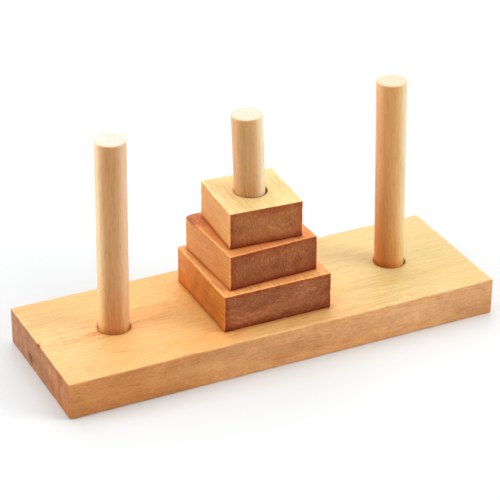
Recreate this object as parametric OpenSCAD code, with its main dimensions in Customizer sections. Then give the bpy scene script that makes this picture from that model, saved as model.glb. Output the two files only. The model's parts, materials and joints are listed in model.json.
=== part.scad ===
// Tower of hanoi puzzle: a board with three loose dowel pegs and three square
// blocks stacked on the middle one. Millimetres, +Z up. The origin is at the
// middle of the board's underside, +X along the row of pegs to the right, and
// -Y towards the player.

/* [Board] */
// Length of the board, along the row of pegs
board_l = 180; // [165:1:240]
// Width of the board, front to back
board_w = 61.2; // [54:0.1:90]
// Thickness of the board
board_t = 15.3; // [14:0.1:24]
// Easing radius along every edge of the board
board_ease = 0.8; // [0.3:0.1:1.6]

/* [Sockets] */
// Diameter of the three blind sockets in the board
socket_d = 12.7; // [12.7:0.1:14]
// Depth of the sockets
socket_depth = 11.5; // [10:0.1:12]
// Width of the small chamfer at the mouth of each socket
socket_chamfer = 0.3; // [0.1:0.1:0.6]

/* [Pegs] */
// Diameter of the dowel pegs
peg_d = 12; // [11:0.1:12]
// Whole length of the outer pegs, the end in the socket included
peg_len = 90; // [84:0.5:110]
// Whole length of the middle peg, which is cut a little shorter
middle_len = 88.8; // [84:0.1:110]
// Width of the chamfer round both ends of a peg
peg_chamfer = 0.5; // [0.2:0.1:1]
// Where the left peg stands along the board, at the board's top
left_x = -59.2; // [-62:0.1:-57]
// Where the middle peg stands along the board, at the board's top
middle_x = -0.3; // [-1:0.1:1]
// Where the right peg stands along the board, at the board's top
right_x = 60; // [57:0.1:62]
// How far the row of pegs is behind the board's middle
row_y = 0.65; // [-2:0.05:2]

/* [Lean of the pegs] */
// Lean of the left peg to the right, in degrees
left_lean_x = 0.5; // [-0.8:0.1:0.8]
// Lean of the left peg to the back, in degrees
left_lean_y = -0.3; // [-0.6:0.1:0.6]
// Lean of the middle peg to the right, in degrees: it leans to the left
middle_lean_x = -2.2; // [-2.2:0.1:0]
// Lean of the middle peg to the back, in degrees
middle_lean_y = 0.3; // [-0.3:0.1:0.3]
// Lean of the right peg to the right, in degrees
right_lean_x = -0.8; // [-0.8:0.1:0.8]
// Lean of the right peg to the back, in degrees
right_lean_y = 1; // [-1:0.1:1]

/* [Blocks] */
// Diameter of the hole through each block
hole_d = 12.7; // [12.7:0.1:14]
// Width of the small chamfer at each mouth of a block's hole
hole_chamfer = 0.3; // [0.1:0.1:0.5]
// Easing radius along every edge of a block
block_ease = 0.6; // [0.3:0.1:1.2]

/* [Large block] */
// Length of the large block along the board
large_x = 45; // [42:0.1:52]
// Width of the large block, front to back
large_y = 44.3; // [42:0.1:52]
// Thickness of the large block
large_t = 15.4; // [13:0.1:15.5]
// Turn of the large block about its hole, in degrees
large_turn = -0.4; // [-5:0.1:5]
// How far the large block's middle is from its hole, along the board
large_off_x = -0.1; // [-1.5:0.1:1.5]
// How far the large block's middle is from its hole, front to back
large_off_y = -0.7; // [-1.5:0.1:1.5]

/* [Medium block] */
// Length of the medium block along the board
medium_x = 37.3; // [34:0.1:41]
// Width of the medium block, front to back
medium_y = 38.1; // [34:0.1:41]
// Thickness of the medium block
medium_t = 14.7; // [13:0.1:15.5]
// Turn of the medium block about its hole, in degrees
medium_turn = 2; // [-5:0.1:5]
// How far the medium block's middle is from its hole, along the board
medium_off_x = -0.3; // [-1.5:0.1:1.5]
// How far the medium block's middle is from its hole, front to back
medium_off_y = 0.1; // [-1.5:0.1:1.5]

/* [Small block] */
// Length of the small block along the board
small_x = 29.8; // [27:0.1:33]
// Width of the small block, front to back
small_y = 30.5; // [27:0.1:33]
// Thickness of the small block
small_t = 15.2; // [13:0.1:15.5]
// Turn of the small block about its hole, in degrees
small_turn = -3.6; // [-5:0.1:5]
// How far the small block's middle is from its hole, along the board
small_off_x = 0.3; // [-1.5:0.1:1.5]
// How far the small block's middle is from its hole, front to back
small_off_y = -0.3; // [-1.5:0.1:1.5]

/* [Hidden] */
$fn = 96;
peg_r = peg_d / 2;
socket_r = socket_d / 2;
hole_r = hole_d / 2;
floor_z = board_t - socket_depth;
floor_gap = 0.02;

// The lean of a peg as one angle off vertical.
function tilt(lean) = acos(cos(lean[0]) * cos(lean[1]));
// The length of a leaning peg below the board's top, with its lower rim just
// clear of the socket's floor.
function sunk(lean) = (socket_depth - floor_gap - (peg_r - peg_chamfer) * sin(tilt(lean))) / cos(tilt(lean));
// A socket sits under its peg's middle, halfway down the socket.
function socket_at(x, lean) = [x - socket_depth / 2 * tan(lean[0]), row_y - socket_depth / 2 * tan(lean[1])];
// Where the middle peg's axis passes a height z.
function axis_at(z) = [middle_x + (z - board_t) * tan(middle_lean_x), row_y + (z - board_t) * tan(middle_lean_y)];

left_lean = [left_lean_x, left_lean_y];
middle_lean = [middle_lean_x, middle_lean_y];
right_lean = [right_lean_x, right_lean_y];

large_z = board_t;
medium_z = large_z + large_t;
small_z = medium_z + medium_t;

// A rectangle of size a by b about the origin, with round corners of radius r.
module round_rect(a, b, r) {
    square([a - 2 * r, b], center = true);
    square([a, b - 2 * r], center = true);
    for (x = [-1, 1], y = [-1, 1])
        translate([x * (a / 2 - r), y * (b / 2 - r)]) circle(r = r);
}

// A slab of size a by b by t on the XY plane, with every edge eased by r.
module eased_slab(a, b, t, r) {
    intersection() {
        linear_extrude(height = t) round_rect(a, b, r);
        translate([0, b / 2, t / 2]) rotate([90, 0, 0]) linear_extrude(height = b) round_rect(a, t, r);
        translate([-a / 2, 0, t / 2]) rotate([90, 0, 90]) linear_extrude(height = a) round_rect(b, t, r);
    }
}

// The cone that takes the sharp edge off the mouth of a hole of radius r, with
// the mouth at z = 0 and the hole below it.
module mouth(r, c) {
    translate([0, 0, -c]) cylinder(r1 = r, r2 = r + c * 1.2, h = c * 1.2);
}

module socket(x, lean) {
    p = socket_at(x, lean);
    translate([p[0], p[1], floor_z]) cylinder(r = socket_r, h = socket_depth + 1);
    translate([p[0], p[1], board_t]) mouth(socket_r, socket_chamfer);
}

// A dowel of length len with chamfered ends, standing on the XY plane.
module dowel(len) {
    rotate_extrude()
        polygon([
            [0, 0], [peg_r - peg_chamfer, 0], [peg_r, peg_chamfer],
            [peg_r, len - peg_chamfer], [peg_r - peg_chamfer, len], [0, len]
        ]);
}

// A dowel that leans about the point x of the board's top, sunk in its socket.
module peg(x, lean, len) {
    translate([x, row_y, board_t])
        rotate([-lean[1], lean[0], 0])
            translate([0, 0, -sunk(lean)]) dowel(len);
}

// A square block with its hole on the middle peg's axis at half its height.
module block(a, b, t, z, turn, off) {
    p = axis_at(z + t / 2);
    translate([p[0], p[1], z])
        difference() {
            translate([off[0], off[1], 0]) rotate([0, 0, turn]) eased_slab(a, b, t, block_ease);
            translate([0, 0, -1]) cylinder(r = hole_r, h = t + 2);
            translate([0, 0, t]) mouth(hole_r, hole_chamfer);
            mirror([0, 0, 1]) mouth(hole_r, hole_chamfer);
        }
}

module base_board() {
    color([0.93, 0.76, 0.53])
        difference() {
            eased_slab(board_l, board_w, board_t, board_ease);
            socket(left_x, left_lean);
            socket(middle_x, middle_lean);
            socket(right_x, right_lean);
        }
}

module left_peg() {
    color([0.86, 0.76, 0.62]) peg(left_x, left_lean, peg_len);
}

module middle_peg() {
    color([0.85, 0.75, 0.60]) peg(middle_x, middle_lean, middle_len);
}

module right_peg() {
    color([0.87, 0.77, 0.63]) peg(right_x, right_lean, peg_len);
}

module large_block() {
    color([0.78, 0.53, 0.33])
        block(large_x, large_y, large_t, large_z, large_turn, [large_off_x, large_off_y]);
}

module medium_block() {
    color([0.74, 0.48, 0.28])
        block(medium_x, medium_y, medium_t, medium_z, medium_turn, [medium_off_x, medium_off_y]);
}

module small_block() {
    color([0.82, 0.60, 0.38])
        block(small_x, small_y, small_t, small_z, small_turn, [small_off_x, small_off_y]);
}

base_board();
left_peg();
middle_peg();
right_peg();
large_block();
medium_block();
small_block();
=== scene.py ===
# Looks for the tower of hanoi puzzle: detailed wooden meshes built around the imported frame.
import json
import math

import bpy
import numpy as np
from mathutils import Matrix, Vector


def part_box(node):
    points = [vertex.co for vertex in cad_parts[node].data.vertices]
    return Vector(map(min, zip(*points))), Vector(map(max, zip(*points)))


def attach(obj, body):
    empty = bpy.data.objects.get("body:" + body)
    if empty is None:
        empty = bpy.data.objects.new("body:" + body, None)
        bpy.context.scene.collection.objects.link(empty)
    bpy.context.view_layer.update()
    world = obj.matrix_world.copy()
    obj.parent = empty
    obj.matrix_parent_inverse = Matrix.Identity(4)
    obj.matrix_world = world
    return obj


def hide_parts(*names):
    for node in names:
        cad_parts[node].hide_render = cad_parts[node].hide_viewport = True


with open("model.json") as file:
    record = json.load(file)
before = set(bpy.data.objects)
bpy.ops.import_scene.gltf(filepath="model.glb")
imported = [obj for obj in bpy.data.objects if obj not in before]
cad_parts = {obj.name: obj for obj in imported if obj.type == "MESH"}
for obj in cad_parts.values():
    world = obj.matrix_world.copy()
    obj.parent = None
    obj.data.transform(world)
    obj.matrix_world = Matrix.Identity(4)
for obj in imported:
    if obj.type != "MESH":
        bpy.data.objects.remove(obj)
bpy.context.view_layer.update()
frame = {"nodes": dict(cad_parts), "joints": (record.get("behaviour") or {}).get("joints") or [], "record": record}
record = frame["record"]
joints = {j["name"]: j for j in frame["joints"]}

# ---------------------------------------------------------------- sizes, from the frame (mm)


def box_mm(node):
    lo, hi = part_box(node)
    return np.array(lo) * 1000, np.array(hi) * 1000


def points_mm(node):
    me = frame["nodes"][node].data
    co = np.empty(len(me.vertices) * 3, np.float32)
    me.vertices.foreach_get("co", co)
    return co.reshape(-1, 3).astype(float) * 1000


def unit(v):
    v = np.asarray(v, float)
    return v / np.linalg.norm(v)


# ---------------------------------------------------------------- seeded noise for the geometry


def lattice(i, j, k, seed):
    n = (i.astype(np.int64) * 374761393 + j.astype(np.int64) * 668265263
         + k.astype(np.int64) * 1274126177 + seed * 974634777) & 0xFFFFFFFF
    n = ((n ^ (n >> 13)) * 1103515245) & 0xFFFFFFFF
    n = ((n ^ (n >> 16)) * 2246822519) & 0xFFFFFFFF
    n = n ^ (n >> 15)
    return n / 4294967296.0


def noise(p, seed=0):
    """Smooth value noise in 0..1 at points p, one cell per unit."""
    p = np.asarray(p, float)
    b = np.floor(p)
    f = p - b
    f = f * f * f * (f * (f * 6 - 15) + 10)
    i, j, k = (b[:, a].astype(np.int64) for a in range(3))
    out = 0
    for dx in (0, 1):
        for dy in (0, 1):
            for dz in (0, 1):
                w = (f[:, 0] if dx else 1 - f[:, 0]) * (f[:, 1] if dy else 1 - f[:, 1]) * (f[:, 2] if dz else 1 - f[:, 2])
                out = out + w * lattice(i + dx, j + dy, k + dz, seed)
    return out


def fbm(p, seed=0, octaves=3):
    p = np.asarray(p, float)
    total, gain, norm = 0, 1.0, 0
    for o in range(octaves):
        total = total + gain * noise(p * 2 ** o + 17.3 * o, seed + 31 * o)
        norm += gain
        gain *= 0.5
    return total / norm


def smoothstep(a, b, x):
    t = np.clip((x - a) / (b - a), 0, 1)
    return t * t * (3 - 2 * t)


# ---------------------------------------------------------------- mesh building


class Solid:
    """Vertices, normals and faces being gathered, with a few numbers per vertex."""

    def __init__(self):
        self.v, self.n, self.edge, self.rim, self.inside = [], [], [], [], []
        self.quads, self.tris = [], []
        self.count = 0

    def add(self, v, n, edge, rim, inside):
        v = np.asarray(v, float)
        m = len(v)
        self.v.append(v)
        self.n.append(np.broadcast_to(np.asarray(n, float), (m, 3)).copy())
        for store, value in ((self.edge, edge), (self.rim, rim), (self.inside, inside)):
            store.append(np.broadcast_to(np.asarray(value, float), (m,)).copy())
        first = self.count
        self.count += m
        return np.arange(first, first + m)

    def close(self):
        self.v, self.n = np.vstack(self.v), np.vstack(self.n)
        self.edge, self.rim, self.inside = (np.concatenate(x) for x in (self.edge, self.rim, self.inside))
        quads = np.vstack(self.quads) if self.quads else np.zeros((0, 4), int)
        tris = np.vstack(self.tris) if self.tris else np.zeros((0, 3), int)
        used = np.zeros(self.count, bool)
        used[quads.ravel()] = True
        used[tris.ravel()] = True
        new = np.cumsum(used) - 1
        self.quads, self.tris = new[quads], new[tris]
        for name in ("v", "n", "edge", "rim", "inside"):
            setattr(self, name, getattr(self, name)[used])
        return self


def lines(lo, hi, r, step, marks=()):
    """Grid lines from lo to hi: close together in the rounded edges, through every mark, and about step apart elsewhere."""
    near = [r * (1 - math.tan(math.radians(a))) for a in (45, 34, 22.5, 11)]
    stops = [lo + r, *sorted(marks), hi - r]
    out = [lo + t for t in near]
    for a, b in zip(stops[:-1], stops[1:]):
        n = max(1, int(round((b - a) / step)))
        out += list(np.linspace(a, b, n + 1)[:-1])
    out += [hi - r] + [hi - t for t in reversed(near)]
    return np.array(out)


def slab(lo, hi, r, step, holes, deep=None, rim_r=0.35, square=3.2):
    """A box with every edge rounded by r, in the box's own frame, and round holes along Z.
    holes is [(x, y, radius)]. They go right through, or, where deep is given, down by deep from the top."""
    s = Solid()
    lo, hi = np.asarray(lo, float), np.asarray(hi, float)
    xm, ym, squares = [], [], []
    for cx, cy, R in holes:
        h = R + square
        xm += [cx - h, cx + h]
    for cx, cy, R in holes:
        h = R + square
        my = holes[0][1]
        ym = [my - h, my + h]
        squares.append((cx - h, cx + h, my - h, my + h))
    xs, ys, zs = (lines(lo[0], hi[0], r, step, xm), lines(lo[1], hi[1], r, step, ym), lines(lo[2], hi[2], r, step))
    nx, ny, nz = len(xs), len(ys), len(zs)
    ii, jj, kk = np.meshgrid(np.arange(nx), np.arange(ny), np.arange(nz), indexing="ij")
    skin = (ii == 0) | (ii == nx - 1) | (jj == 0) | (jj == ny - 1) | (kk == 0) | (kk == nz - 1)
    idx = -np.ones((nx, ny, nz), int)
    P = np.stack([xs[ii[skin]], ys[jj[skin]], zs[kk[skin]]], 1)
    C = np.clip(P, lo + r, hi - r)
    n = P - C
    n = n / np.linalg.norm(n, axis=1, keepdims=True)
    gaps = np.sort(np.minimum(P - lo, hi - P), axis=1)
    idx[skin] = s.add(C + r * n, n, gaps[:, 1], 99.0, 0.0)

    def grid(A, flip=False, skip=()):
        q = np.stack([A[:-1, :-1], A[1:, :-1], A[1:, 1:], A[:-1, 1:]], -1)
        keep = np.ones(q.shape[:2], bool)
        for a0, a1, b0, b1 in skip:
            keep[a0:a1, b0:b1] = False
        q = q[keep]
        s.quads.append(q[:, ::-1] if flip else q)

    spans = []
    for x0, x1, y0, y1 in squares:
        spans.append(tuple(int(np.argmin(abs(g - t))) for g, t in ((xs, x0), (xs, x1), (ys, y0), (ys, y1))))
    grid(idx[:, :, nz - 1], False, spans)
    grid(idx[:, :, 0], True, () if deep else spans)
    grid(idx[nx - 1], False)
    grid(idx[0], True)
    grid(idx[:, ny - 1, :], True)
    grid(idx[:, 0, :], False)

    def ring(a, b):
        q = np.stack([a, np.roll(a, -1), np.roll(b, -1), b], 1)
        s.quads.append(q)

    for (cx, cy, R), (i0, i1, j0, j1) in zip(holes, spans):
        walk = ([(i, j0) for i in range(i0, i1)] + [(i1, j) for j in range(j0, j1)]
                + [(i, j1) for i in range(i1, i0, -1)] + [(i0, j) for j in range(j1, j0, -1)])
        wi, wj = np.array(walk).T
        B = np.stack([xs[wi], ys[wj]], 1)
        theta = np.arctan2(B[:, 1] - cy, B[:, 0] - cx)
        spoke = np.stack([np.cos(theta), np.sin(theta)], 1)
        zt, zb = hi[2], (hi[2] - deep if deep else lo[2])
        m = max(3, int(round(square / step)) + 2)
        last = idx[wi, wj, nz - 1]
        out_r = R + rim_r
        for t in (np.arange(1, m + 1) / m):
            xy = (1 - t) * B + t * (np.array([cx, cy]) + out_r * spoke)
            rho = np.linalg.norm(xy - [cx, cy], axis=1)
            now = s.add(np.column_stack([xy, np.full(len(xy), zt)]), (0, 0, 1), 99.0, rho - R, 0.0)
            ring(last, now)
            last = now
        for a in (22.5, 45, 67.5, 90):
            sa, ca = math.sin(math.radians(a)), math.cos(math.radians(a))
            rho = out_r - rim_r * sa
            z = zt - rim_r * (1 - ca)
            nn = np.column_stack([-spoke * sa, np.full(len(spoke), ca)])
            now = s.add(np.column_stack([np.array([cx, cy]) + rho * spoke, np.full(len(spoke), z)]), nn, 99.0, 0.0, 0.5 * sa)
            ring(last, now)
            last = now
        floor_r = 0.6
        z_end = zb + (floor_r if deep else rim_r)
        depth = (zt - rim_r) - z_end
        rows = max(6, int(round(depth / 0.55)))
        for t in np.arange(1, rows + 1) / rows:
            z = (zt - rim_r) - depth * t
            now = s.add(np.column_stack([np.array([cx, cy]) + R * spoke, np.full(len(spoke), z)]),
                        np.column_stack([-spoke, np.zeros(len(spoke))]), 99.0, 0.0, 1.0)
            ring(last, now)
            last = now
        if deep:
            for a in (30, 60, 90):
                sa, ca = math.sin(math.radians(a)), math.cos(math.radians(a))
                rho = R - floor_r * (1 - ca)
                z = zb + floor_r * (1 - sa)
                nn = np.column_stack([-spoke * ca, np.full(len(spoke), sa)])
                now = s.add(np.column_stack([np.array([cx, cy]) + rho * spoke, np.full(len(spoke), z)]), nn, 99.0, 0.0, 1.0)
                ring(last, now)
                last = now
            # the drill's brad point leaves a small cone in the middle of the floor
            for rho in (R - 1.4, R - 2.4, R - 3.4, R - 4.3, 1.5, 1.15, 0.8, 0.4):
                dip = 1.1 * max(0.0, 1 - rho / 1.3)
                spur = 0.25 * math.exp(-((rho - (R - 1.0)) / 0.3) ** 2)
                now = s.add(np.column_stack([np.array([cx, cy]) + rho * spoke, np.full(len(spoke), zb - dip - spur)]),
                            (0, 0, 1), 99.0, 0.0, 1.0)
                ring(last, now)
                last = now
            mid = s.add([[cx, cy, zb - 1.1]], (0, 0, 1), 99.0, 0.0, 1.0)
            s.tris.append(np.stack([last, np.roll(last, -1), np.full(len(last), mid[0])], 1))
        else:
            for a in (22.5, 45, 67.5, 90):
                sa, ca = math.sin(math.radians(a)), math.cos(math.radians(a))
                rho = R + rim_r * (1 - ca)
                z = zb + rim_r * (1 - sa)
                nn = np.column_stack([-spoke * ca, np.full(len(spoke), -sa)])
                now = s.add(np.column_stack([np.array([cx, cy]) + rho * spoke, np.full(len(spoke), z)]), nn, 99.0, 0.0, 0.5 * ca)
                ring(last, now)
                last = now
            for t in np.arange(1, m) / m:
                xy = t * B + (1 - t) * (np.array([cx, cy]) + out_r * spoke)
                rho = np.linalg.norm(xy - [cx, cy], axis=1)
                now = s.add(np.column_stack([xy, np.full(len(xy), zb)]), (0, 0, -1), 99.0, rho - R, 0.0)
                ring(last, now)
                last = now
            ring(last, idx[wi, wj, 0])
    return s.close()


def dowel(radius, length, chamfer, around=132, step=0.9):
    """A round peg standing on z = 0, its ends rounded by chamfer."""
    s = Solid()
    theta = np.linspace(0, 2 * math.pi, around, endpoint=False)
    spoke = np.stack([np.cos(theta), np.sin(theta)], 1)
    rows = []
    for rho in (0.35, 0.8, 1.3, 1.9, 2.5, 3.1, 3.7, 4.3, 4.8):
        rows.append((rho, 0.0, 0.0, -1.0))
    for a in (0, 18, 36, 54, 72, 90):
        sa, ca = math.sin(math.radians(a)), math.cos(math.radians(a))
        rows.append((radius - chamfer + chamfer * sa, chamfer * (1 - ca), sa, -ca))
    n = int(round((length - 2 * chamfer) / step))
    for t in np.arange(1, n) / n:
        rows.append((radius, chamfer + (length - 2 * chamfer) * t, 1.0, 0.0))
    for a in (90, 72, 54, 36, 18, 0):
        sa, ca = math.sin(math.radians(a)), math.cos(math.radians(a))
        rows.append((radius - chamfer + chamfer * sa, length - chamfer * (1 - ca), sa, ca))
    for rho in (4.8, 4.3, 3.7, 3.1, 2.5, 1.9, 1.3, 0.8, 0.35):
        rows.append((rho, length, 0.0, 1.0))
    low = s.add([[0, 0, 0]], (0, 0, -1), radius, 99.0, 0.0)[0]
    last = None
    for rho, z, out, up in rows:
        to_edge = max(radius - rho, min(z, length - z))
        now = s.add(np.column_stack([rho * spoke, np.full(around, z)]),
                    np.column_stack([out * spoke, np.full(around, up)]), to_edge, 99.0, 0.0)
        if last is None:
            s.tris.append(np.stack([np.roll(now, -1), now, np.full(around, low)], 1))
        else:
            s.quads.append(np.stack([last, np.roll(last, -1), np.roll(now, -1), now], 1))
        last = now
    top = s.add([[0, 0, length]], (0, 0, 1), radius, 99.0, 0.0)[0]
    s.tris.append(np.stack([last, np.roll(last, -1), np.full(around, top)], 1))
    return s.close()


def sink(s, depth):
    """Moves the surface inwards by depth (mm, never negative), so that it stays within the CAD solid."""
    s.v = s.v - s.n * np.maximum(depth, 0)[:, None]


def nicks(s, places):
    """Small dents: (x, y, z, rx, ry, rz, depth, push direction, seed). Returns how torn each vertex is, 0..1."""
    torn = np.zeros(len(s.v))
    for x, y, z, rx, ry, rz, depth, push, seed in places:
        d = (s.v - [x, y, z]) / [rx, ry, rz]
        rough = 0.75 + 0.6 * (fbm(s.v * 0.9, seed, 3) - 0.5)
        w = smoothstep(1.0, 0.25, np.linalg.norm(d, axis=1) / np.clip(rough, 0.3, 2))
        s.v = s.v + w[:, None] * depth * unit(push)
        torn = np.maximum(torn, w)
    return torn


def make_object(name, s, place, grain, grain_shift, torn, paint, busy, mottled=0.0):
    """The finished mesh in the row frame, in metres. place is a 4x4 from the solid's own frame, in mm.
    grain's rows are the wood's own axes in the solid's frame: along the grain, then two across it."""
    M = np.asarray(place, float)
    world = (s.v @ M[:3, :3].T + M[:3, 3]) / 1000
    me = bpy.data.meshes.new(name)
    nq, nt = len(s.quads), len(s.tris)
    me.vertices.add(len(world))
    me.vertices.foreach_set("co", world.astype(np.float32).ravel())
    loops = np.concatenate([s.quads.ravel(), s.tris.ravel()]).astype(np.int32)
    me.loops.add(len(loops))
    me.loops.foreach_set("vertex_index", loops)
    me.polygons.add(nq + nt)
    starts = np.concatenate([np.arange(nq) * 4, nq * 4 + np.arange(nt) * 3]).astype(np.int32)
    me.polygons.foreach_set("loop_start", starts)
    me.polygons.foreach_set("use_smooth", np.ones(nq + nt, bool))
    me.update(calc_edges=True)
    me.validate()
    G = np.asarray(grain, float)
    wood = s.v @ G.T + np.asarray(grain_shift, float)
    ends = np.maximum(np.abs(s.n @ G[0]), mottled)
    held = me.attributes.new("wood_mm", "FLOAT_VECTOR", "POINT")
    held.data.foreach_set("vector", wood.astype(np.float32).ravel())
    held = me.attributes.new("paint", "FLOAT_VECTOR", "POINT")
    held.data.foreach_set("vector", np.clip(paint, 0, 1).astype(np.float32).ravel())
    for key, values in (("endgrain", ends), ("edge_mm", s.edge), ("rim_mm", s.rim), ("bored", s.inside), ("torn", torn), ("busy", busy)):
        a = me.attributes.new(key, "FLOAT", "POINT")
        a.data.foreach_set("value", np.asarray(values, np.float32))
    ob = bpy.data.objects.new(name, me)
    bpy.context.scene.collection.objects.link(ob)
    return ob


def placed(turn_z=0.0, at=(0, 0, 0), axis=None):
    """A 4x4 that turns about Z, or carries Z to axis, and then moves by at."""
    M = np.eye(4)
    if axis is None:
        c, s_ = math.cos(turn_z), math.sin(turn_z)
        M[:3, :3] = [[c, -s_, 0], [s_, c, 0], [0, 0, 1]]
    else:
        z = unit(axis)
        x = unit(np.cross([0, 1, 0], z))
        M[:3, :3] = np.column_stack([x, np.cross(z, x), z])
    M[:3, 3] = at
    return M


# ---------------------------------------------------------------- wood materials


def lin(*rgb):
    return tuple((c / 255 / 12.92) if c / 255 <= 0.04045 else ((c / 255 + 0.055) / 1.055) ** 2.4 for c in rgb)


class Tree:
    """A short way to write shader nodes."""

    def __init__(self, name):
        self.mat = bpy.data.materials.new(name)
        self.mat.use_nodes = True
        self.nt = self.mat.node_tree
        self.nt.nodes.clear()

    def node(self, kind, inputs=(), **props):
        n = self.nt.nodes.new(kind)
        for k, v in props.items():
            setattr(n, k, v)
        for key, value in dict(inputs).items():
            socket = n.inputs[key]
            if isinstance(value, bpy.types.NodeSocket):
                self.nt.links.new(value, socket)
            else:
                socket.default_value = value
        return n

    def attr(self, name, vector=False):
        n = self.node("ShaderNodeAttribute", attribute_name=name)
        return n.outputs["Vector"] if vector else n.outputs["Fac"]

    def math(self, op, a, b=0.0, c=0.0, clamp=False):
        n = self.nt.nodes.new("ShaderNodeMath")
        n.operation, n.use_clamp = op, clamp
        for i, v in enumerate((a, b, c)):
            if isinstance(v, bpy.types.NodeSocket):
                self.nt.links.new(v, n.inputs[i])
            else:
                n.inputs[i].default_value = v
        return n.outputs[0]

    def vec(self, op, a, b=(0, 0, 0), scale=None):
        n = self.nt.nodes.new("ShaderNodeVectorMath")
        n.operation = op
        for i, v in enumerate((a, b)):
            if isinstance(v, bpy.types.NodeSocket):
                self.nt.links.new(v, n.inputs[i])
            else:
                n.inputs[i].default_value = v
        if scale is not None:
            n.inputs["Scale"].default_value = scale
        return n.outputs["Value"] if op in ("LENGTH", "DOT_PRODUCT", "DISTANCE") else n.outputs["Vector"]

    def noise(self, vector, scale, detail=2.0, rough=0.5, distortion=0.0, color=False):
        n = self.node("ShaderNodeTexNoise", {"Vector": vector, "Scale": scale, "Detail": detail, "Roughness": rough,
                                            "Distortion": distortion}, noise_dimensions="3D")
        return n.outputs["Color"] if color else n.outputs[0]

    def remap(self, value, a, b, c=0.0, d=1.0, smooth=False):
        n = self.node("ShaderNodeMapRange", {"Value": value, "From Min": a, "From Max": b, "To Min": c, "To Max": d},
                      clamp=True, interpolation_type="SMOOTHSTEP" if smooth else "LINEAR")
        return n.outputs["Result"]

    def ramp(self, value, stops, mode="LINEAR"):
        n = self.node("ShaderNodeValToRGB", {"Fac": value})
        r = n.color_ramp
        r.interpolation = mode
        while len(r.elements) < len(stops):
            r.elements.new(0.5)
        for e, (pos, col) in zip(r.elements, stops):
            e.position = pos
            e.color = (*col, 1) if len(col) == 3 else col
        return n.outputs["Color"]

    def mix(self, fac, a, b, blend="MIX"):
        n = self.nt.nodes.new("ShaderNodeMix")
        n.data_type, n.blend_type = "RGBA", blend
        for sock, v in ((n.inputs["Factor"], fac), (n.inputs["A"], a), (n.inputs["B"], b)):
            pass
        ins = [s for s in n.inputs if s.enabled]
        for sock, v in zip(ins, (fac, a, b)):
            if isinstance(v, bpy.types.NodeSocket):
                self.nt.links.new(v, sock)
            elif sock.type == "RGBA":
                sock.default_value = (*v, 1) if len(v) == 3 else v
            else:
                sock.default_value = v
        return [o for o in n.outputs if o.enabled][0]

    def stretch(self, vector, scale):
        return self.vec("MULTIPLY", vector, scale)


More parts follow.
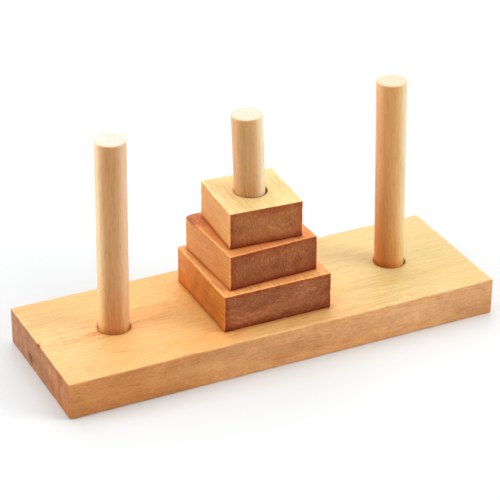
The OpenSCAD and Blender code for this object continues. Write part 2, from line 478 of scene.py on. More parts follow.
def wood(name, seed=0.0, ring=2.8, warp=2.4, ring_side=0.16, ring_end=0.22, dash=0.5, dash_len=0.16, dash_wide=1.0, fibre=0.4,
         fleck=0.35, pore=0.35, blotch=0.35, speckle=0.5, grit=(1.3, 1.3, 1.3), patch=0.3, patch_scale=(0.12, 0.26, 0.26), rough=0.5, bump=0.4, spec=0.4, edge_wear_and_highlight=0.4,
         bore=(0.55, 0.40, 0.30)):
    """Solid wood. The paint attribute holds the colour of each face, painted shade and highlights included; rings,
    dashes, flecks and pores tint it.
    Rings are cylinders round the wood's own X axis, at distances set by the wood_mm attribute."""
    t = Tree(name)
    p0 = t.attr("wood_mm", vector=True)
    p = t.vec("ADD", p0, (seed * 137.0, 0.0, 0.0))
    paint = t.attr("paint", vector=True)
    ends = t.attr("endgrain")
    edge = t.attr("edge_mm")
    bored = t.attr("bored")
    torn = t.attr("torn")
    busy = t.attr("busy")

    def tint(colour, mask, amount, ratio):
        """colour times ratio where mask is 1, and unchanged where it is 0."""
        m = t.math("MULTIPLY", mask, amount) if amount != 1.0 else mask
        f = t.nt.nodes.new("ShaderNodeVectorMath")
        f.operation = "MULTIPLY_ADD"
        t.nt.links.new(m, f.inputs[0])
        f.inputs[1].default_value = tuple(r - 1.0 for r in ratio)
        f.inputs[2].default_value = (1.0, 1.0, 1.0)
        return t.vec("MULTIPLY", colour, f.outputs["Vector"])

    # the rings: distance from the pith, bent by slow noise that runs along the grain
    cross = t.vec("MULTIPLY", p, (0.0, 1.0, 1.0))
    dist = t.vec("LENGTH", cross)
    slow = t.noise(t.stretch(p, (0.012, 0.045, 0.045)), 1.0, 2.0, 0.5)
    slow2 = t.noise(t.stretch(p, (0.05, 0.16, 0.16)), 1.0, 2.0, 0.5)
    dist = t.math("MULTIPLY_ADD", t.math("SUBTRACT", slow, 0.5), warp * 4.0, dist)
    dist = t.math("MULTIPLY_ADD", t.math("SUBTRACT", slow2, 0.5), warp * 1.2, dist)
    # widths that vary from year to year
    yearly = t.noise(t.node("ShaderNodeCombineXYZ", {"X": t.math("MULTIPLY", dist, 0.16)}).outputs[0], 1.0, 1.0, 0.5)
    phase = t.math("ADD", t.math("DIVIDE", dist, ring), t.math("MULTIPLY", yearly, 2.2))
    frac = t.math("FRACT", phase)
    latew = t.ramp(frac, [(0.0, (0.85,) * 3), (0.08, (0.12,) * 3), (0.45, (0.14,) * 3), (0.76, (0.42,) * 3), (0.94, (1,) * 3), (1.0, (0.85,) * 3)], "EASE")
    year = t.node("ShaderNodeTexWhiteNoise", {"W": t.math("FLOOR", phase)}, noise_dimensions="1D").outputs["Value"]
    latew = t.math("MULTIPLY", latew, t.math("MULTIPLY_ADD", year, 0.8, 0.35))
    # rings come and go along the board, so that they never read as ruled lines
    fade = t.remap(t.noise(t.stretch(p, (0.05, 0.12, 0.12)), 1.0, 2.0, 0.6), 0.36, 0.62, 0.15, 1.0, True)
    latew = t.math("MULTIPLY", latew, fade)

    # fibres: fine streaks on the sides, which are fine dots on the ends
    wave = t.noise(t.stretch(p, (0.07, 0.10, 0.10)), 1.0, 1.0, 0.5, color=True)
    wavy = t.vec("ADD", p, t.vec("MULTIPLY", t.vec("SUBTRACT", wave, (0.5, 0.5, 0.5)), (0.0, 3.2, 3.2)))
    fib = t.noise(t.stretch(wavy, (0.05, 1.35, 1.35)), 1.0, 4.0, 0.62, 0.1)
    fib2 = t.noise(t.stretch(wavy, (0.14, 3.4, 3.4)), 1.0, 3.0, 0.6)

    def lively(mask):
        """A mask made stronger or weaker by the busy attribute."""
        return t.math("MULTIPLY", mask, busy)

    # short wavy tan dashes along the grain, in groups
    da = t.noise(t.stretch(wavy, (dash_len, dash_wide, dash_wide)), 1.0, 2.0, 0.55)
    group = t.remap(t.noise(t.stretch(p, (0.05, 0.09, 0.09)), 1.0, 2.0, 0.5), 0.34, 0.60, 0.35, 1.0, True)
    dash_m = t.math("MULTIPLY", t.remap(da, 0.53, 0.68, 0.0, 1.0, True), group)
    # ray flecks, dark and light
    fl = t.noise(t.stretch(wavy, (0.50, 2.4, 2.4)), 1.0, 2.0, 0.55)
    fleck_m = t.remap(fl, 0.57, 0.72, 0.0, 1.0, True)
    fleck_l = t.remap(fl, 0.43, 0.30, 0.0, 1.0, True)
    # pores: finer dashes still
    po = t.noise(t.stretch(p, (0.55, 7.5, 7.5)), 1.0, 1.0, 0.5)
    pore_m = t.remap(po, 0.60, 0.72, 0.0, 1.0, True)
    # slow patches of colour
    bl = t.noise(t.stretch(p, (0.035, 0.075, 0.075)), 1.0, 3.0, 0.55)
    bl2 = t.noise(t.stretch(p, patch_scale), 1.0, 2.0, 0.5, 0.4)

    side = tint(paint, latew, ring_side, (0.80, 0.66, 0.50))
    side = tint(side, lively(t.remap(fib, 0.48, 0.68)), fibre, (0.86, 0.76, 0.64))
    side = tint(side, lively(t.remap(fib, 0.48, 0.32)), fibre, (1.06, 1.10, 1.16))
    side = tint(side, lively(t.remap(fib2, 0.42, 0.66)), fibre * 0.8, (0.90, 0.83, 0.76))
    side = tint(side, lively(dash_m), dash, (0.90, 0.76, 0.58))
    side = tint(side, t.remap(bl, 0.46, 0.74, smooth=True), blotch, (0.94, 0.86, 0.74))
    side = tint(side, t.remap(bl, 0.46, 0.24, smooth=True), blotch, (1.03, 1.07, 1.12))
    side = tint(side, lively(fleck_m), fleck, (0.80, 0.70, 0.58))
    side = tint(side, lively(fleck_l), fleck, (1.08, 1.12, 1.18))
    side = tint(side, lively(pore_m), pore, (0.66, 0.55, 0.45))

    # end grain: soft rings, light speckle and fine radial rays
    parts = t.node("ShaderNodeSeparateXYZ", {"Vector": p}).outputs
    ang = t.math("ARCTAN2", parts[2], parts[1])
    rays = t.noise(t.node("ShaderNodeCombineXYZ", {"X": t.math("MULTIPLY", ang, 190.0), "Y": t.math("MULTIPLY", dist, 0.22),
                                                   "Z": t.math("MULTIPLY", parts[0], 0.3)}).outputs[0], 1.0, 2.0, 0.5)
    coarse = tuple(g * 0.45 for g in grit)
    grit = t.noise(t.stretch(p, grit), 1.0, 2.0, 0.7)
    grit2 = t.noise(t.stretch(p, coarse), 1.0, 2.0, 0.6)
    endc = tint(paint, latew, ring_end, (0.72, 0.60, 0.52))
    endc = tint(endc, t.remap(bl2, 0.48, 0.72, smooth=True), patch, (0.82, 0.74, 0.68))
    endc = tint(endc, t.remap(bl2, 0.48, 0.26, smooth=True), patch, (1.14, 1.20, 1.28))
    endc = tint(endc, t.remap(grit2, 0.50, 0.70, smooth=True), speckle * 0.4, (1.16, 1.24, 1.36))
    endc = tint(endc, lively(t.remap(grit, 0.50, 0.68)), speckle, (1.34, 1.48, 1.72))
    endc = tint(endc, lively(t.remap(grit, 0.48, 0.32)), speckle, (0.74, 0.68, 0.62))
    endc = tint(endc, t.remap(rays, 0.56, 0.72), 0.22, (1.25, 1.32, 1.42))
    endc = tint(endc, pore_m, pore * 0.6, (0.66, 0.56, 0.48))

    end_f = t.remap(t.math("ADD", ends, t.math("MULTIPLY", t.math("SUBTRACT", fib, 0.5), 0.16)), 0.55, 0.90, 0.0, 1.0, True)
    colour = t.mix(end_f, side, endc)

    # eased edges are painted paler, unevenly: partly sanded wear, partly a painted highlight where the rounding catches
    # the light
    wear = t.noise(t.stretch(p, (0.22, 0.4, 0.4)), 1.0, 3.0, 0.6)
    em = t.math("MULTIPLY", t.remap(edge, 0.85, 0.25, 0.0, 1.0, True), t.remap(wear, 0.32, 0.60, 0.3, 1.0), clamp=True)
    colour = tint(colour, em, edge_wear_and_highlight, (1.35, 1.48, 1.60))
    # bored walls are rougher and darker, and tear-out shows raw redder wood
    colour = tint(colour, bored, 1.0, bore)
    rag = t.noise(t.stretch(p, (0.55, 1.5, 1.5)), 1.0, 3.0, 0.65)
    colour = tint(colour, t.math("MULTIPLY", torn, t.remap(rag, 0.52, 0.66)), 1.0, (0.36, 0.26, 0.26))
    colour = tint(colour, t.math("MULTIPLY", torn, t.remap(rag, 0.46, 0.34)), 1.0, (1.20, 1.40, 1.80))

    # relief
    h = t.math("MULTIPLY", fib, 0.55)
    h = t.math("MULTIPLY_ADD", fib2, 0.25, h)
    h = t.math("MULTIPLY_ADD", latew, 0.12, h)
    h = t.math("MULTIPLY_ADD", pore_m, -0.45, h)
    h = t.math("MULTIPLY_ADD", dash_m, -0.16, h)
    h_end = t.math("MULTIPLY_ADD", pore_m, -0.6, t.math("MULTIPLY_ADD", latew, 0.3, t.math("MULTIPLY", grit, 0.9)))
    height = t.node("ShaderNodeMix", data_type="FLOAT")
    ins = [s for s in height.inputs if s.enabled]
    for sock, v in zip(ins, (end_f, h, h_end)):
        t.nt.links.new(v, sock)
    height = [o for o in height.outputs if o.enabled][0]
    height = t.math("ADD", height, t.math("MULTIPLY", t.math("MULTIPLY", bored, grit), 1.5))
    height = t.math("ADD", height, t.math("MULTIPLY", t.math("MULTIPLY", torn, grit2), 2.0))
    bm = t.node("ShaderNodeBump", {"Strength": bump, "Distance": 0.00012, "Height": height})

    rg = t.math("MULTIPLY_ADD", t.remap(fib, 0.3, 0.7), 0.10, rough - 0.05)
    rg = t.math("MULTIPLY_ADD", end_f, 0.14, rg)
    rg = t.math("MULTIPLY_ADD", pore_m, 0.10, rg)
    rg = t.math("MULTIPLY_ADD", bored, 0.2, rg)
    rg = t.math("MULTIPLY_ADD", bl2, 0.06, rg, clamp=True)

    s = t.node("ShaderNodeBsdfPrincipled", {"Base Color": colour, "Roughness": rg, "Normal": bm.outputs["Normal"]})
    s.inputs["IOR"].default_value = 1.45
    s.inputs["Specular IOR Level"].default_value = spec
    t.node("ShaderNodeOutputMaterial", {"Surface": s.outputs["BSDF"]})
    return t.mat


WOODS = {
    "base_board": dict(seed=1.0, ring=3.3, warp=2.4, ring_side=0.25, ring_end=0.35, dash=0.75, dash_len=0.10, dash_wide=1.35,
                       fibre=0.58, fleck=0.50, pore=0.28, blotch=0.45, speckle=0.36, grit=(1.1, 1.35, 1.05), patch=1.1,
                       patch_scale=(0.14, 0.26, 0.16), rough=0.5, bump=0.5, spec=0.35, edge_wear_and_highlight=0.4,
                       bore=(1.12, 0.62, 0.32)),
    "large_block": dict(seed=2.0, ring=3.4, warp=2.6, ring_side=0.45, ring_end=0.70, dash=0.6, fibre=1.15, fleck=0.70, pore=0.4,
                        blotch=1.3, speckle=0.85, grit=(1.3, 1.5, 1.2), patch=1.0, patch_scale=(0.12, 0.34, 0.08),
                        rough=0.52, bump=0.5, spec=0.28, edge_wear_and_highlight=1.4),
    "medium_block": dict(seed=3.0, ring=3.6, warp=2.5, ring_side=0.20, ring_end=0.22, dash=0.35, fibre=0.80, fleck=0.5, pore=0.3,
                         blotch=0.6, speckle=1.0, grit=(1.3, 0.85, 1.7), patch=0.9, patch_scale=(0.12, 0.16, 0.20),
                         rough=0.52, bump=0.5, spec=0.28, edge_wear_and_highlight=1.4),
    "small_block": dict(bore=(0.34, 0.23, 0.16), seed=4.0, ring=3.0, warp=2.0, ring_side=0.16, ring_end=0.18, dash=0.3, fibre=0.70, fleck=0.45, pore=0.25,
                        blotch=0.6, speckle=0.80, grit=(1.3, 0.95, 1.6), patch=0.9, patch_scale=(0.12, 0.16, 0.12),
                        rough=0.52, bump=0.5, spec=0.28, edge_wear_and_highlight=1.4),
    "left_peg": dict(seed=5.0, ring=2.2, warp=1.2, ring_side=0.18, ring_end=0.12, dash=0.4, dash_len=0.10, dash_wide=1.2, fibre=0.48,
                     fleck=0.4, pore=0.25, blotch=0.5, speckle=0.10, patch=0.12, rough=0.5, bump=0.4, spec=0.4, edge_wear_and_highlight=0.25),
}
WOODS["middle_peg"] = dict(WOODS["left_peg"], seed=6.0)
WOODS["right_peg"] = dict(WOODS["left_peg"], seed=7.0)


# ---------------------------------------------------------------- plain colours, with painted shade and highlights, per vertex


def by_normal(n, colours, sharp=6.0):
    """Blends one colour per direction of the normal: colours is {"+x": rgb, ...}."""
    total, out = 0, 0
    for key, value in colours.items():
        axis = "xyz".index(key[1])
        w = np.maximum(0, n[:, axis] * (1 if key[0] == "+" else -1)) ** sharp
        value = np.asarray(value, float)
        out = out + w[:, None] * (value if value.ndim == 2 else value[None, :])
        total = total + w
    return out / np.maximum(total, 1e-9)[:, None]


def spread(q, points, reach):
    """A smooth blend of a few colours, each given at a place: points is [(place, rgb)]."""
    total, out = 0, 0
    for place, rgb in points:
        d = np.linalg.norm((q - np.asarray(place, float)) / np.asarray(reach, float), axis=1)
        w = 1 / (0.15 + d ** 2) ** 1.5
        out = out + w[:, None] * np.asarray(rgb)[None, :]
        total = total + w
    return out / total[:, None]


def outline(x, y, w, h):
    """How far a point is from the outline of a w by h rectangle about the origin, below zero inside it."""
    qx, qy = np.abs(x) - w / 2, np.abs(y) - h / 2
    return np.hypot(np.maximum(qx, 0), np.maximum(qy, 0)) + np.minimum(np.maximum(qx, qy), 0)


def dab(paint, mask, ratio):
    """Tints paint by ratio where mask is 1."""
    return paint * (1 + mask[:, None] * (np.asarray(ratio) - 1)[None, :])


def blob(v, centre, size, seed, ragged=0.5, freq=0.35):
    """A soft ragged patch, 1 in the middle and 0 outside."""
    d = np.linalg.norm((v - centre) / size, axis=1)
    d = d * (1 + ragged * (fbm(v * freq, seed, 3) - 0.5) * 2)
    return smoothstep(1.0, 0.35, d)


# ---------------------------------------------------------------- the pieces


def finish_piece(name, node, body, ob):
    ob.data.materials.append(wood("wood_" + node, **WOODS[node]))
    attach(ob, body)
    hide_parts(node)
    return ob


# board
b_lo, b_hi = box_mm("base_board")
EASE = 0.8
TOP, ROW_Y = 15.3, 0.65
SOCKET_R, SOCKET_DEEP, HOLE_R, PEG_R = 6.35, 11.5, 6.35, 6.0
# where each peg stands on the board's top, its lean to the right and to the back, and its length
PEGS = {"left_peg": (-59.2, 0.5, -0.3, 90.0), "middle_peg": (-0.3, -2.2, 0.3, 88.8), "right_peg": (60.0, -0.8, 1.0, 90.0)}


def axis_at(node, z):
    x, lx, ly, length = PEGS[node]
    return x + (z - TOP) * math.tan(math.radians(lx)), ROW_Y + (z - TOP) * math.tan(math.radians(ly))


sockets = [(*axis_at(node, TOP - SOCKET_DEEP / 2), SOCKET_R - (0.0 if node == "middle_peg" else 0.12)) for node in PEGS]
sockets[0] = (sockets[0][0] + 0.08, sockets[0][1] - 0.05, sockets[0][2])
board = slab(b_lo, b_hi, EASE, 0.78, sockets, deep=SOCKET_DEEP, rim_r=0.16)
v = board.v
worn = np.exp(-(board.edge / 0.8) ** 2)
depth = 0.05 * fbm(v * [0.03, 0.12, 0.3], 3, 3) + worn * (0.02 + 0.22 * np.maximum(0, fbm(v * [0.12, 0.25, 0.25], 5, 3) - 0.42) / 0.58)
depth += np.exp(-(board.rim / 0.6) ** 2) * 0.16 * fbm(v * 0.9, 9, 3) * (board.rim < 50)
depth[board.inside > 0.5] = 0.05 * fbm(v[board.inside > 0.5] * [0.8, 0.8, 2.5], 11, 2)
sink(board, depth)
torn = nicks(board, [
    (-89.7, 0.6, 15.1, 1.3, 1.9, 1.3, 0.75, (1, 0, -1), 21),
    (-89.9, 14.0, 15.3, 0.7, 1.2, 0.7, 0.22, (1, 0, -1), 23),
    (89.8, -5.9, 15.2, 0.9, 1.1, 0.9, 0.35, (-1, 0, -1), 22),
    (34.0, -30.5, 15.2, 1.4, 0.7, 0.7, 0.20, (0, 1, -1), 24),
    (-47.0, -30.5, 15.2, 1.1, 0.7, 0.7, 0.16, (0, 1, -1), 25),
    (72.0, -30.5, 15.2, 1.3, 0.7, 0.7, 0.18, (0, 1, -1), 26),
])
v = board.v
# the colour given at (-42, 8), left of the blocks, is darker and more orange as painted shade and warm bounce light
# from the blocks
top = spread(v[:, :2], [((-80, 0), lin(233, 194, 133)), ((-42, 8), lin(248, 196, 122)), ((-42, -20), lin(237, 183, 115)),
                        ((-4, -27), lin(223, 179, 120)), ((45, 0), lin(229, 205, 143)), ((80, 18), lin(220, 194, 135))], (30, 30))
front = spread(v[:, :1], [((-80,), lin(200, 136, 77)), ((0,), lin(208, 151, 98)), ((80,), lin(204, 154, 105))], (60,))
left_end = spread(v[:, 1:], [((20, 8), lin(162, 111, 77)), ((-22, 4), lin(173, 114, 69)), ((0, 8), lin(166, 113, 75))], (14, 10))
paint = by_normal(board.n, {"+z": top, "-y": front, "-x": left_end, "+x": lin(184, 132, 94), "+y": lin(211, 160, 105),
                            "-z": lin(223, 180, 121)})
slow = fbm(v * [0.035, 0.035, 0.16], 120, 3) - 0.5
paint *= (1 + (np.maximum(0, -board.n[:, 1]) + np.maximum(0, -board.n[:, 0]))[:, None] * slow[:, None] * np.array([0.35, 0.45, 0.55])[None, :])
low = smoothstep(8, 0, v[:, 2]) * np.maximum(0, -board.n[:, 1])
paint = dab(paint, low, (1.0, 0.93, 0.82))
up = np.maximum(0, board.n[:, 2])
# thin brown growth lines run from the left socket to the end and behind the blocks
for off, x0, x1, slope, width, seed in ((0.2, -90, -66, 0.10, 0.35, 91), (2.6, -90, -70, 0.12, 0.3, 92), (-2.3, -88, -64, 0.10, 0.3, 93),
                                        (-5.4, -84, -52, 0.07, 0.28, 94), (5.6, -84, -62, 0.08, 0.26, 95)):
    y = off + slope * (v[:, 0] + 62) + 2.2 * (fbm(v * [0.09, 0, 0], seed, 2) - 0.5)
    run = smoothstep(x0 - 4, x0 + 4, v[:, 0]) * smoothstep(x1 + 3, x1 - 3, v[:, 0]) * smoothstep(0.3, 0.6, fbm(v * [0.16, 0.05, 0], seed + 9, 2) + 0.12)
    paint = dab(paint, up * run * np.exp(-((v[:, 1] - y) / width) ** 2), (0.87, 0.70, 0.52))
for off, x0, x1, slope, width, seed in ((27.5, 28, 48, -0.05, 0.3, 96), (25.6, 30, 46, 0.05, 0.3, 97), (22.4, 30, 44, -0.03, 0.26, 98)):
    y = off + slope * (v[:, 0] - 38) + 2.0 * (fbm(v * [0.12, 0, 0], seed, 2) - 0.5)
    run = smoothstep(x0 - 3, x0 + 3, v[:, 0]) * smoothstep(x1 + 3, x1 - 3, v[:, 0])
    paint = dab(paint, up * run * np.exp(-((v[:, 1] - y) / width) ** 2), (0.90, 0.72, 0.54))
# a reddish streak runs from the left socket to the board's end; between the socket and the blocks a warm painted tint
# stands in for the blocks' shade and warm bounce light, and a second warm patch lies in front of the blocks
wobble = 1.4 * (fbm(v * [0.08, 0, 0], 71, 2) - 0.5)
streak = np.exp(-((v[:, 1] + 0.4 - 0.09 * (v[:, 0] + 62) - wobble * 2) / 1.7) ** 2) * smoothstep(-84, -67, v[:, 0]) * smoothstep(-58, -63, v[:, 0])
paint = dab(paint, up * streak * (0.45 + 0.9 * fbm(v * [0.2, 0.9, 1], 72, 3)), (0.92, 0.70, 0.50))
# painted shade and warm bounce light from the blocks, on the top between the left socket and the blocks
paint = dab(paint, up * blob(v, (-43, 3, 15), (17, 13, 20), 73, 0.7, 0.09), (0.99, 0.93, 0.82))
paint = dab(paint, up * blob(v, (-28, -22, 15), (26, 8, 20), 74, 0.6, 0.09), (0.99, 0.94, 0.86))
paint = dab(paint, np.maximum(0, -board.n[:, 0]) * blob(v, (-90, 9, 4.5), (20, 3.4, 3.2), 75, 0.7, 0.25), (0.60, 0.42, 0.36))
paint = dab(paint, np.maximum(0, -board.n[:, 0]) * blob(v, (-90, -16, 9), (20, 10, 4), 76, 0.5, 0.2), (1.12, 1.08, 1.16))
paint = dab(paint, np.maximum(0, -board.n[:, 0]) * blob(v, (-90, -25, 2.5), (20, 9, 3), 77, 0.5, 0.2), (1.08, 0.92, 0.72))
paint = dab(paint, blob(v, (-89.8, 0.6, 15.0), (1.4, 1.8, 1.4), 78, 0.4, 0.5), (0.66, 0.50, 0.42))
# painted warm bounce light on the board's top round the large block, and a thin painted contact shade line along the
# outline where the block stands
away = outline(v[:, 0] + 0.4, v[:, 1] + 0.05, 45.4, 44.7)
paint = dab(paint, up * np.exp(-(np.minimum(away + 4, 0) / 4.0) ** 2 - (np.maximum(away, 0) / 9.0) ** 2), (1.06, 0.99, 0.88))
# painted contact shade: a thin dark line along the large block's outline
paint = dab(paint, up * np.exp(-(away / 0.8) ** 2), (0.84, 0.66, 0.50))
# painted shade round the socket rims on the top, where the pegs go in
paint = dab(paint, np.exp(-(np.minimum(board.rim, 50) / 0.6) ** 2) * up, (0.80, 0.56, 0.38))
grain_board = np.array([[1, 0, 0], [0, 1, 0], [0, 0, 1]], float)
busy = 1.0 + 0.5 * np.maximum(0, -board.n[:, 1]) - 0.25 * np.maximum(0, -board.n[:, 0]) + 0.3 * np.maximum(0, board.n[:, 0]) - 0.45 * up * smoothstep(-20, 60, v[:, 0] * 0.6 + v[:, 1])
ob = make_object("board_wood", board, placed(), grain_board, (0, 62, 74), torn, paint, busy, 0.70 * np.maximum(0, -board.n[:, 1]))
finish_piece("board_wood", "base_board", "board", ob)

# blocks
BLOCKS = {
    # node: size x, y, t, turn, offset x, y, bottom z
    "large_block": (45.0, 44.3, 15.4, -0.4, -0.1, -0.7, 15.3),
    "medium_block": (37.3, 38.1, 14.7, 2.0, -0.3, 0.1, 30.7),
    "small_block": (29.8, 30.5, 15.2, -3.6, 0.3, -0.3, 45.4),
}
GRAINS = {
    "large_block": (np.array([[0, 1, 0], [0, 0, 1], [1, 0, 0]], float), (0, -30, 22)),
    "medium_block": (np.array([[0, 1, 0], [0, 0, 1], [1, 0, 0]], float), (0, -40, -34)),
    "small_block": (np.array([[0, 1, 0], [0, 0, 1], [1, 0, 0]], float), (0, 44, 26)),
}
BLOCK_NICKS = {
    "large_block": [],
    "medium_block": [(-18.3, 18.2, 14.5, 2.2, 2.6, 1.0, 0.30, (0.5, -0.3, -1), 41), (-18.4, 12.4, 14.6, 1.2, 3.0, 0.8, 0.20, (0.6, 0, -1), 42)],
    "small_block": [],
}
# the footprint of the block that lies on each of the lower two, whose outline gets a painted contact shade line: middle
# x, y, size x, y and turn
COVER = {"large_block": (-1.46, 0.87, 37.3, 38.1, 2.0), "medium_block": (-1.44, 0.55, 29.8, 30.5, -3.6)}
BLOCK_COLOURS = {
    # front, left, top, right
    "large_block": (lin(143, 80, 43), lin(209, 133, 56), lin(249, 180, 112), lin(216, 141, 73)),
    "medium_block": (lin(138, 72, 32), lin(220, 152, 87), lin(232, 156, 92), lin(224, 153, 90)),
    "small_block": (lin(153, 87, 42), lin(234, 172, 105), lin(243, 212, 149), lin(230, 171, 109)),
}
for node, (bx, by, bt, turn, ox, oy, z0) in BLOCKS.items():
    axis_x, axis_y = axis_at("middle_peg", z0 + bt / 2)
    a = math.radians(turn)
    # in the block's own frame, the hole is off its middle by the offset turned back
    hx = -(math.cos(a) * ox + math.sin(a) * oy)
    hy = -(-math.sin(a) * ox + math.cos(a) * oy)
    s = slab((-bx / 2, -by / 2, 0), (bx / 2, by / 2, bt), 0.6, 0.5, [(hx, hy, HOLE_R)], rim_r=0.14)
    seed = int(bx)
    v = s.v
    worn = np.exp(-(s.edge / 0.7) ** 2)
    depth = 0.035 * fbm(v * [0.15, 0.05, 0.15], seed, 3) + worn * (0.02 + 0.25 * np.maximum(0, fbm(v * 0.28, seed + 1, 3) - 0.42) / 0.58)
    depth += np.exp(-(s.rim / 0.5) ** 2) * 0.14 * fbm(v * 0.9, seed + 2, 3) * (s.rim < 50)
    depth[s.inside > 0.5] = 0.04 * fbm(v[s.inside > 0.5] * [0.8, 0.8, 2.5], seed + 3, 2)
    sink(s, depth)
    torn = nicks(s, BLOCK_NICKS[node])
    M = placed(a, (axis_x + ox, axis_y + oy, z0))
    G, shift = GRAINS[node]
    v = s.v
    # no painted edge highlight or wear within 1.2 mm of the bottom
    s.edge = np.where(v[:, 2] < 1.2, 99.0, s.edge)
    c_front, c_left, c_top, c_right = BLOCK_COLOURS[node]
    paint = by_normal(s.n, {"-y": c_front, "+y": c_front, "-x": c_left, "+x": c_right, "+z": c_top, "-z": c_top})
    ahead, aside = np.maximum(0, -s.n[:, 1]), np.maximum(0, -s.n[:, 0])
    # the end grain is redder near its edges and darkest along the bottom, and greyer in the middle
    inset = np.minimum(np.minimum(bx / 2 - np.abs(v[:, 0]), bt - v[:, 2]), v[:, 2])
    border = np.exp(-(np.maximum(inset + 1.2 * (fbm(v * 0.3, seed + 20, 2) - 0.5), 0) / 1.9) ** 2)
    both = np.abs(s.n[:, 1])
    paint = dab(paint, both * (1 - border), (1.05, 1.14, 1.26))
    paint = dab(paint, both * border, (0.88, 0.65, 0.46))
    paint = dab(paint, both * smoothstep(4.2, 0.4, v[:, 2] + 1.5 * (fbm(v * 0.25, seed + 21, 2) - 0.5)), (0.80, 0.62, 0.50))
    if node == "large_block":
        paint = dab(paint, ahead * np.exp(-((v[:, 0] - 8 - 0.25 * v[:, 2]) / 4.0) ** 2), (1.10, 1.12, 1.16))
        # curved pale streaks, low on the left and level in the middle
        for off in (0.0, 2.4, 5.0, 7.9):
            d = np.hypot(v[:, 0] + 22, 1.15 * (v[:, 2] + 3)) - 6 - off
            paint = dab(paint, ahead * np.exp(-(d / 0.45) ** 2) * smoothstep(0, -14, v[:, 0]), (1.30, 1.36, 1.44))
        for z, x0, x1, sd in ((7.6, -12, 20, 86), (6.0, -16, 6, 87), (9.4, -2, 21, 88), (4.4, -18, -2, 89)):
            d = v[:, 2] - z - 0.06 * v[:, 0] - 1.4 * (fbm(v * [0.09, 0, 0], sd, 2) - 0.5)
            run = smoothstep(x0 - 4, x0 + 4, v[:, 0]) * smoothstep(x1 + 3, x1 - 3, v[:, 0]) * (0.4 + fbm(v * [0.35, 0, 0], sd + 5, 2))
            paint = dab(paint, ahead * run * np.exp(-(d / 0.55) ** 2), (1.26, 1.34, 1.44))
        # the left side: pinkish at the back, a red patch low at the back, orange in front, with steep bands
        slope = v[:, 2] - 7.7 + 0.32 * v[:, 1] + 2.5 * (fbm(v * [0, 0.10, 0.2], 81, 2) - 0.5)
        paint = dab(paint, aside * blob(v, (-22, 17, 11), (9, 9, 7), 101, 0.5, 0.15), (1.08, 1.22, 1.75))
        paint = dab(paint, aside * blob(v, (-22, 18, 3), (9, 8, 4), 102, 0.5, 0.2), (1.02, 0.82, 0.80))
        paint = dab(paint, aside * blob(v, (-22, -15, 5), (9, 11, 7), 103, 0.5, 0.2), (0.86, 0.80, 0.86))
        for y0, w0, ratio in ((9.0, 1.6, (1.10, 0.98, 1.10)), (4.5, 1.3, (0.90, 0.94, 0.90)), (0.5, 1.2, (1.08, 1.06, 1.20)), (-5.0, 1.8, (0.92, 0.88, 0.84)), (-10.0, 1.2, (1.05, 1.04, 1.06))):
            d = v[:, 1] - y0 + 0.45 * (v[:, 2] - 7.7) - 2.0 * (fbm(v * [0, 0, 0.15], 104, 2) - 0.5)
            paint = dab(paint, aside * np.exp(-(d / w0) ** 2), ratio)
    if node == "medium_block":
        paint = dab(paint, ahead * blob(v, (10, -19, 11), (8, 9, 4.5), 82, 0.6, 0.3), (1.10, 1.18, 1.34))
        paint = dab(paint, ahead * blob(v, (-8, -19, 10), (9, 9, 4.0), 105, 0.6, 0.3), (1.06, 1.12, 1.24))
        paint = dab(paint, ahead * np.exp(-((v[:, 0] - 4.5 - 0.6 * (fbm(v * [0, 0, 0.4], 83, 2) - 0.5)) / 0.35) ** 2) * smoothstep(11, 8, v[:, 2]) * smoothstep(3, 5, v[:, 2]), (0.84, 0.78, 0.76))
        paint = dab(paint, aside * blob(v, (-18, 2, 8), (9, 9, 5), 106, 0.5, 0.2), (1.05, 1.06, 1.22))
        paint = dab(paint, aside * blob(v, (-18, -12, 5), (9, 6, 5), 107, 0.5, 0.2), (1.00, 0.92, 0.82))
        corner = blob(v, (-17.2, 14.8, 14.7), (4.8, 9.5, 2.6), 85, 0.5, 0.4)
        paint = dab(paint, corner, (0.78, 0.57, 0.54))
        paint = dab(paint, np.exp(-(s.edge / 0.7) ** 2) * blob(v, (-18, 17, 14.7), (6, 8, 3), 86, 0.3, 0.4), (0.55, 0.40, 0.36))
        torn = np.maximum(torn, corner)
    if node == "small_block":
        paint = dab(paint, ahead * blob(v, (0, -15, 7), (8, 6, 4), 84, 0.6, 0.3), (1.08, 1.14, 1.28))
    # painted contact shade along the bottom edges, and painted shade round the hole rim on top where the peg goes
    # through
    paint = dab(paint, np.exp(-(v[:, 2] / 1.0) ** 2) * (1 - np.maximum(0, s.n[:, 2])), (0.64, 0.35, 0.20))
    paint = dab(paint, np.exp(-(np.minimum(s.rim, 50) / 0.5) ** 2) * np.maximum(0, s.n[:, 2]), (0.86, 0.70, 0.55))
    # painted contact shade: a thin dark line on the top along the outline of the block lying on it
    if node in COVER:
        cx, cy, cw, ch, turn_over = COVER[node]
        wx, wy = M[0, 0] * v[:, 0] + M[0, 1] * v[:, 1] + M[0, 3], M[1, 0] * v[:, 0] + M[1, 1] * v[:, 1] + M[1, 3]
        t = math.radians(turn_over)
        ux, uy = math.cos(t) * (wx - cx) + math.sin(t) * (wy - cy), -math.sin(t) * (wx - cx) + math.cos(t) * (wy - cy)
        away = outline(ux, uy, cw, ch)
        paint = dab(paint, np.maximum(0, s.n[:, 2]) * np.exp(-(away / 0.6) ** 2), (0.84, 0.64, 0.48))
    name = node + "_wood"
    ob = make_object(name, s, M, G, shift, torn, paint, np.ones(len(v)))
    finish_piece(name, node, node, ob)
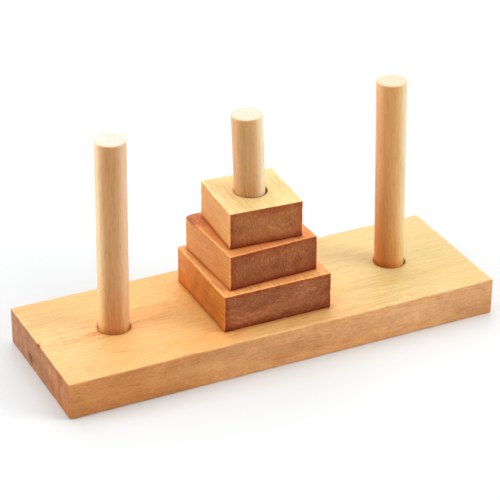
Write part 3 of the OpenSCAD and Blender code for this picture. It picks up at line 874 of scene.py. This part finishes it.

# pegs: the colour of each one's left side, of its face towards the player and of its right side; the paler sides are a
# painted sheen and the browner face a painted shade
PEG_SHADE_AND_SHEEN_COLOURS = {
    "left_peg": (lin(242, 213, 171), lin(199, 149, 99), lin(216, 187, 156)),
    "middle_peg": (lin(228, 177, 129), lin(202, 156, 104), lin(218, 203, 171)),
    "right_peg": (lin(237, 179, 127), lin(208, 155, 97), lin(206, 192, 151)),
}
# the cut top ends are painted near white, paler than the side grain, as a painted highlight of the strong light from
# above
PEG_END_HIGHLIGHT_COLOURS = {"left_peg": lin(229, 219, 204), "middle_peg": lin(225, 217, 196), "right_peg": lin(223, 210, 183)}
for node, (x, lx, ly, length) in PEGS.items():
    ax = unit(joints[node + "_pull"]["axis"])
    pts = points_mm(node)
    along = pts @ ax
    low = along.min()
    base = np.array([x, ROW_Y, TOP])
    start = base + ax * (low - base @ ax)
    s = dowel(PEG_R, length, 0.5)
    seed = 60 + len(node)
    ang = np.arctan2(s.v[:, 1], s.v[:, 0])
    ring_p = np.column_stack([np.cos(ang) * 2.2, np.sin(ang) * 2.2, s.v[:, 2] * 0.02])
    wall = np.linalg.norm(s.n[:, :2], axis=1)
    depth = wall * 0.07 * fbm(ring_p, seed, 2)
    fine = np.column_stack([np.cos(ang) * 9, np.sin(ang) * 9, s.v[:, 2] * 0.05])
    depth += wall * 0.025 * fbm(fine, seed + 1, 2)
    depth += np.exp(-(s.edge / 0.5) ** 2) * 0.12 * fbm(np.column_stack([np.cos(ang) * 4, np.sin(ang) * 4, s.v[:, 2]]), seed + 2, 3)
    flat = 1 - wall
    depth += flat * 0.06 * fbm(s.v * [0.5, 1.6, 1], seed + 3, 3)
    sink(s, depth)
    M = placed(axis=ax, at=start)
    G = np.array([[0, 0, 1], [1, 0, 0], [0, 1, 0]], float)
    name = node.replace("_peg", "") + "_peg_wood"
    # the face towards the player is painted a little browner than the sides as painted shade, the sides paler as a
    # painted sheen, and the foot is more orange
    about = np.sin(ang + math.radians(116))
    left_sheen_colour, facing_shade_colour, right_sheen_colour = PEG_SHADE_AND_SHEEN_COLOURS[node]
    paint = np.broadcast_to(np.asarray(facing_shade_colour), (len(s.v), 3)).copy()
    # the paler painted sheen on each side
    for sign, side_sheen_colour in ((-1, left_sheen_colour), (1, right_sheen_colour)):
        w = smoothstep(0.30, 0.95, sign * about)[:, None]
        paint = paint * (1 - w) + np.asarray(side_sheen_colour)[None, :] * w
    foot = smoothstep(46, 14, s.v[:, 2] + 10 * (fbm(np.column_stack([np.cos(ang) * 2, np.sin(ang) * 2, s.v[:, 2] * 0.03]), seed + 9, 2) - 0.5))
    paint = dab(paint, wall * foot, (1.05, 0.98, 0.84))
    paint = dab(paint, wall * smoothstep(30, 12, s.v[:, 2]), (0.97, 0.88, 0.78))
    # painted shade and warm glow: a brown band just above the board, where the socket shades the foot
    paint = dab(paint, wall * np.exp(-((s.v[:, 2] - 11.4) / 1.7) ** 2) * (s.v[:, 2] > 11.4), (0.88, 0.68, 0.46))
    # painted shade on the part of the foot that sits in the socket
    socket_shade = smoothstep(12.6, 11.6, s.v[:, 2])
    paint = dab(paint, wall * socket_shade, (0.95, 0.82, 0.68))
    # the cut top end takes its pale painted highlight colour
    cap = flat * (s.v[:, 2] > length / 2)
    paint = paint * (1 - cap[:, None]) + np.asarray(PEG_END_HIGHLIGHT_COLOURS[node])[None, :] * cap[:, None]
    # the cut end is a little yellower toward its rim
    paint = dab(paint, cap * smoothstep(3.5, 5.6, np.linalg.norm(s.v[:, :2], axis=1)), (1.0, 0.97, 0.86))
    ob = make_object(name, s, M, G, {"left_peg": (0, 9, 4), "middle_peg": (0, -8, 7), "right_peg": (0, 5, -10)}[node], np.zeros(len(s.v)), paint, np.ones(len(s.v)))
    finish_piece(name, node, node, ob)

# ---------------------------------------------------------------- stage, light, camera


def stage_material():
    t = Tree("stage_paper")
    n = t.noise(t.node("ShaderNodeTexCoord").outputs["Object"], 3.0, 2.0, 0.5)
    c = t.mix(n, (0.725, 0.752, 0.768), (0.74, 0.767, 0.783))
    s = t.node("ShaderNodeBsdfPrincipled", {"Base Color": c})
    s.inputs["Roughness"].default_value = 0.9
    s.inputs["Specular IOR Level"].default_value = 0.1
    clear = t.node("ShaderNodeBsdfTransparent")
    back = t.node("ShaderNodeNewGeometry").outputs["Backfacing"]
    m = t.node("ShaderNodeMixShader", {0: back, 1: s.outputs[0], 2: clear.outputs[0]})
    t.node("ShaderNodeOutputMaterial", {"Surface": m.outputs[0]})
    return t.mat


me = bpy.data.meshes.new("floor")
R = 6.0
me.from_pydata([(-R, -R, -0.00003), (R, -R, -0.00003), (R, R, -0.00003), (-R, R, -0.00003)], [], [(0, 1, 2, 3)])
floor = bpy.data.objects.new("floor", me)
bpy.context.scene.collection.objects.link(floor)
me.materials.append(stage_material())

world = bpy.data.worlds.new("studio")
bpy.context.scene.world = world
world.use_nodes = True
bg = world.node_tree.nodes["Background"]
bg.inputs["Color"].default_value = (0.96, 0.985, 1.0, 1)
bg.inputs["Strength"].default_value = 0.18


def area(name, direction, distance, size, power, colour=(1, 1, 1), aim=(0, 0, 0.03)):
    light = bpy.data.lights.new(name, "AREA")
    light.shape = "RECTANGLE"
    light.size, light.size_y = size
    light.energy = power
    light.color = colour
    ob = bpy.data.objects.new(name, light)
    d = unit(direction)
    ob.location = Vector(aim) + Vector(d * distance)
    ob.rotation_mode = "QUATERNION"
    ob.rotation_quaternion = Vector(d).to_track_quat("Z", "Y")
    bpy.context.scene.collection.objects.link(ob)
    return ob


area("key_softbox", (0.05, 0.28, 0.95), 1.7, (1.9, 1.9), 23.5)
area("right_softbox", (0.74, -0.57, 0.38), 0.75, (0.55, 0.45), 5.2, (1.0, 0.97, 0.93))
area("left_softbox", (-0.90, 0.08, 0.42), 0.80, (0.6, 0.5), 4.4, (1.0, 0.97, 0.93))
area("back_softbox", (0.30, 0.93, 0.35), 1.1, (1.2, 0.6), 5.1, (1.0, 0.98, 0.95))

scene = bpy.context.scene
scene.view_settings.view_transform = "Standard"
scene.view_settings.look = "None"
scene.view_settings.exposure = 0.0
scene.view_settings.gamma = 1.0

cam_data = bpy.data.cameras.new("camera")
cam = bpy.data.objects.new("camera", cam_data)
scene.collection.objects.link(cam)
az, el, roll = math.radians(25.940), math.radians(28.897), math.radians(0.2298)
back = np.array([-math.sin(az) * math.cos(el), -math.cos(az) * math.cos(el), math.sin(el)])
xc = np.array([math.cos(az), -math.sin(az), 0.0])
yc = np.cross(back, xc)
xr = math.cos(roll) * xc + math.sin(roll) * yc
yr = -math.sin(roll) * xc + math.cos(roll) * yc
target = np.array([0.00117, 0.007022, 0.030852])
place = target + back * 0.811926
m = Matrix.Identity(4)
for r_ in range(3):
    m[r_][0], m[r_][1], m[r_][2], m[r_][3] = xr[r_], yr[r_], back[r_], place[r_]
cam.matrix_world = m
cam_data.sensor_width = 36.0
cam_data.lens = 2086.07 / 500 * 36.0
cam_data.clip_start, cam_data.clip_end = 0.01, 20.0
scene.camera = cam
